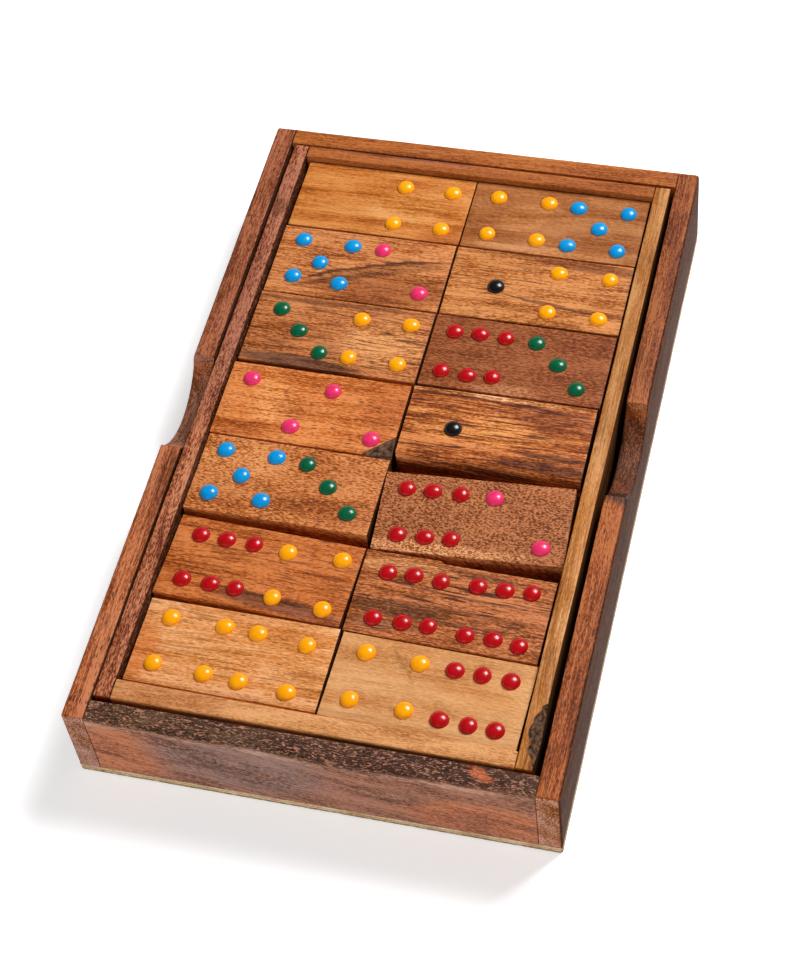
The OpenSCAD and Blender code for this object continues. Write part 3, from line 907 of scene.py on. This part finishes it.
def enamel_drop(name, stretch, width):
    """Drop of enamel over the origin, cut from a flattened ball, its rim a little below z = 0"""
    deselect()
    bpy.ops.mesh.primitive_uv_sphere_add(segments=24, ring_count=16, radius=width / 2 * MM)
    drop = added(name)
    bpy.ops.object.mode_set(mode="EDIT")
    bpy.ops.mesh.select_all(action="SELECT")
    bpy.ops.transform.resize(value=(stretch, 1 / stretch, DROP_FLATNESS))
    bpy.ops.transform.translate(value=(0, 0, (PIP_H - DROP_FLATNESS * width / 2) * MM))
    bpy.ops.mesh.bisect(plane_co=(0, 0, -PIP_SUNK * MM), plane_no=(0, 0, -1), clear_outer=True,
                        use_fill=True)
    bpy.ops.object.mode_set(mode="OBJECT")
    bpy.ops.object.shade_smooth_by_angle(angle=SMOOTH_DROP)
    return drop


# No two drops land quite alike
DROPS = [enamel_drop("drop_round", 1.0, PIP_D), enamel_drop("drop_oval", 1.03, PIP_D),
         enamel_drop("drop_small", 0.98, PIP_D - 0.15)]


def enamel_pips(name, top, turn, spots):
    """Drops of enamel at spots, each with its number, on a domino whose top's middle is top"""
    drops = []
    for i, (x, y, number) in enumerate(spots):
        drop = copy_of(DROPS[i % len(DROPS)], name)
        drop.data.materials.append(ENAMELS[number])
        lay(drop, (x, y, 0))
        drops.append(drop)
    only(drops[0])
    if len(drops) > 1:
        for drop in drops:
            drop.select_set(True)
        bpy.ops.object.join()
    lay(drops[0], top, turn)
    drops[0].name = drops[0].data.name = name
    return drops[0]


def spots_of(numbers):
    """Spots of a domino with neat pips"""
    return [((2 * half - 1) * HALF_MIDDLE + x * PIP_STEP[0], y * PIP_STEP[1], numbers[half])
            for half in (0, 1) for x, y in PIP_SPOTS[numbers[half]]]


half_blank = (Vector(DOMINO) + Vector((SANDED_OFF, 0, 0))) / 2


def domino_blank(name, shape=None, radii=()):
    """Blank of a domino about the origin, its edges eased"""
    blank = block(name, -half_blank, half_blank)
    if shape:
        shape(blank)
    round_edges(blank, radii)
    for axis in (0, 1):
        cross_cuts(blank, axis, steps(-half_blank[axis], half_blank[axis], CUT_SPACING["domino"]))
    return blank


def bark_at_corner(piece):
    """Triangle of bark at the near right corner, on a plane that faces the way of slope"""
    slope = Vector((0.305, -0.338, 0.890))
    trim(piece, (17.2, -half_blank.y, half_blank.z), slope)
    to_bark(piece, lambda at, face: face.normal.dot(slope) > 0.999)


def notch(piece):
    """Step in the far side at x = -5 mm, as a chisel slip left it: out on the left, back on
    the right"""
    cross_cuts(piece, 0, (-5.6, -4.4))
    for wanted, move in ((lambda at, vert: at.x < -5 and at.y > 12, 0.4),
                         (lambda at, vert: at.x > -5 and at.y > 12, -0.35)):
        pick(piece, "VERT", wanted)
        bpy.ops.transform.translate(value=(0, move * MM, 0))
        bpy.ops.object.mode_set(mode="OBJECT")


BLANKS = {
    None: domino_blank("blank"),
    "upper_left_4": domino_blank("blank_bark", bark_at_corner),
    "upper_right_4": domino_blank("blank_round", radii=[   # near top edge, near left corner
        (lambda at: at.y < -12 and at.z > 4.6, 3.5),
        (lambda at: at.x < -25 and at.y < -12, 2.0)]),
    "upper_right_6": domino_blank("blank_notched", notch),
}


def make_domino(body, turn, wood, spots, sink=0, pips_node=()):
    """Wood and drops of one domino, where its node lies. sink is how much lower its drops lie."""
    node = "domino_" + body
    low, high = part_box(node)
    middle = (low + high) / 2 / MM
    middle.z = low.z / MM + half_blank.z
    domino = copy_of(BLANKS.get(body, BLANKS[None]), "hardwood_" + node)
    lay(domino, middle, turn)
    sand_by_hand(domino)
    # The dominoes' end grain is painted very dark: darker end grain, and painted shade in the
    # narrow gaps between their ends
    material = oiled_hardwood("oiled_hardwood_" + node, middle, turn, end_tone="#4a2a18",
                              **wood)
    hand_over(domino, material, body, "domino_hardwood", node)
    if spots:
        top = middle + Vector((0, 0, half_blank.z - sink))
        pips = enamel_pips("enamel_pips_" + body, top, turn, spots)
        hand_over(pips, None, body, "enamel", *pips_node)


# The hidden lower dominoes have the woods of the other column, a few rows on
for side, column, other in (("left", LEFT_COLUMN, RIGHT_COLUMN),
                            ("right", RIGHT_COLUMN, LEFT_COLUMN)):
    for row, (turn, below, left_spots, right_spots, wood) in enumerate(column, 1):
        hidden_wood = other[(row + 2) % len(other)][-1]
        make_domino(f"lower_{side}_{row}", turn, hidden_wood, spots_of(below), LOWER_SINK)
        landed = [(x, y, len(half)) for half in (left_spots, right_spots) for x, y in half]
        make_domino(f"upper_{side}_{row}", turn, wood, landed,
                    pips_node=[f"pips_upper_{side}_{row}"])

for spare in [*BLANKS.values(), *DROPS]:
    bpy.data.objects.remove(spare)


# ---- Camera, lights and floor ----

# Place, turn and lens that set the case's corners where the photograph has them
camera = bpy.data.objects.new("camera", bpy.data.cameras.new("camera"))
camera.location = (0.127117, -0.351594, 0.509751)
camera.rotation_euler = (0.6267734, 0.0861400, 0.2370895)
camera.data.sensor_width = 36
camera.data.lens = 84.387
bpy.context.collection.objects.link(camera)
bpy.context.scene.camera = camera


def softbox(name, place, width, power, mirrored=True):
    """Square soft light that looks at the box, and whether gloss mirrors it"""
    data = bpy.data.lights.new(name, "AREA")
    data.size, data.energy = width, power
    light = bpy.data.objects.new(name, data)
    light.location = place
    light.rotation_euler = (-Vector(place)).to_track_quat("-Z", "Y").to_euler()
    light.visible_glossy = mirrored
    bpy.context.collection.objects.link(light)


softbox("key_light", place=(0.36, 0.5, 0.78), width=0.4, power=12.8)
softbox("front_fill", place=(-0.1, -1.05, 0.3), width=0.9, power=9, mirrored=False)


def seen_rays(tree):
    """1 for rays that the camera sees straight, in gloss or through glass, else 0"""
    rays = add(tree, "LightPath", {}).node.outputs
    seen = rays["Is Camera Ray"]
    for kind in ("Is Glossy Ray", "Is Transmission Ray"):
        seen = add(tree, "Math", {0: seen, 1: rays[kind]}, operation="MAXIMUM")
    return seen


FLOOR_SIZE, FLOOR_SUNK = 6, 0.0002    # metres
FLOOR_SEEN, FLOOR_LIT = 0.9, 0.4      # how pale the floor looks, and how much light it returns
FLOOR_GLOW = 0.45                     # what lifts the seen floor to white, in the box's light
FADE_FROM, FADE_TO = 0.35, 1.0        # metres from the box, where the floor becomes backdrop


def matt_white_floor():
    """Matt white paint that keeps the box's shadow and fades into the white backdrop"""
    paint, tree, shader, where = new_material("matt_white_floor")
    seen = seen_rays(tree)
    white = add(tree, "Mix", {0: seen, 6: [FLOOR_LIT] * 3 + [1], 7: [FLOOR_SEEN] * 3 + [1]}, 2,
                data_type="RGBA")
    away = add(tree, "VectorMath", {0: where["Object"]}, "Value", operation="LENGTH")
    far = add(tree, "MapRange", {"Value": away, "From Min": FADE_FROM, "From Max": FADE_TO})
    faded = add(tree, "Math", {0: far, 1: seen}, operation="MULTIPLY")
    base = add(tree, "Mix", {0: faded, 6: white, 7: [0, 0, 0, 1]}, 2, data_type="RGBA")
    glow = add(tree, "Math", {0: far, 1: 1 - FLOOR_GLOW, 2: FLOOR_GLOW},
               operation="MULTIPLY_ADD")
    glow = add(tree, "Math", {0: seen, 1: glow}, operation="MULTIPLY")
    connect(tree, shader, {"Base Color": base, "Roughness": 0.9, "Specular IOR Level": 0,
                           "Emission Color": [1, 1, 1, 1], "Emission Strength": glow})
    return paint


deselect()
bpy.ops.mesh.primitive_plane_add(size=FLOOR_SIZE, location=(0, 0, -FLOOR_SUNK))
floor = added("floor")
floor.data.materials.append(matt_white_floor())

AMBIENT = 0.12                        # light from the backdrop on the box
CEILING = 0.06                        # what gloss sees of the backdrop overhead
CEILING_FROM, CEILING_TO = 0.1, 0.3   # rise of a ray at which it turns from white to that


def backdrop(tree):
    """White backdrop. In gloss it is only low round the box, under a dim ceiling."""
    way = add(tree, "TexCoord", {}, "Generated")
    rise = add(tree, "SeparateXYZ", {0: way}, "Z")
    pale = add(tree, "MapRange", {"Value": rise, "From Min": CEILING_FROM,
                                  "From Max": CEILING_TO, "To Min": 1, "To Max": CEILING})
    straight = add(tree, "LightPath", {}, "Is Camera Ray")
    shown = add(tree, "Math", {0: pale, 1: straight}, operation="MAXIMUM")
    strength = add(tree, "Mix", {0: seen_rays(tree), 2: AMBIENT, 3: shown})
    connect(tree, tree.nodes["Background"], {"Color": [1, 1, 1, 1], "Strength": strength})


world = bpy.data.worlds.new("studio")
bpy.context.scene.world = world
world.use_nodes = True
backdrop(world.node_tree)

bpy.context.scene.view_settings.view_transform = "Standard"
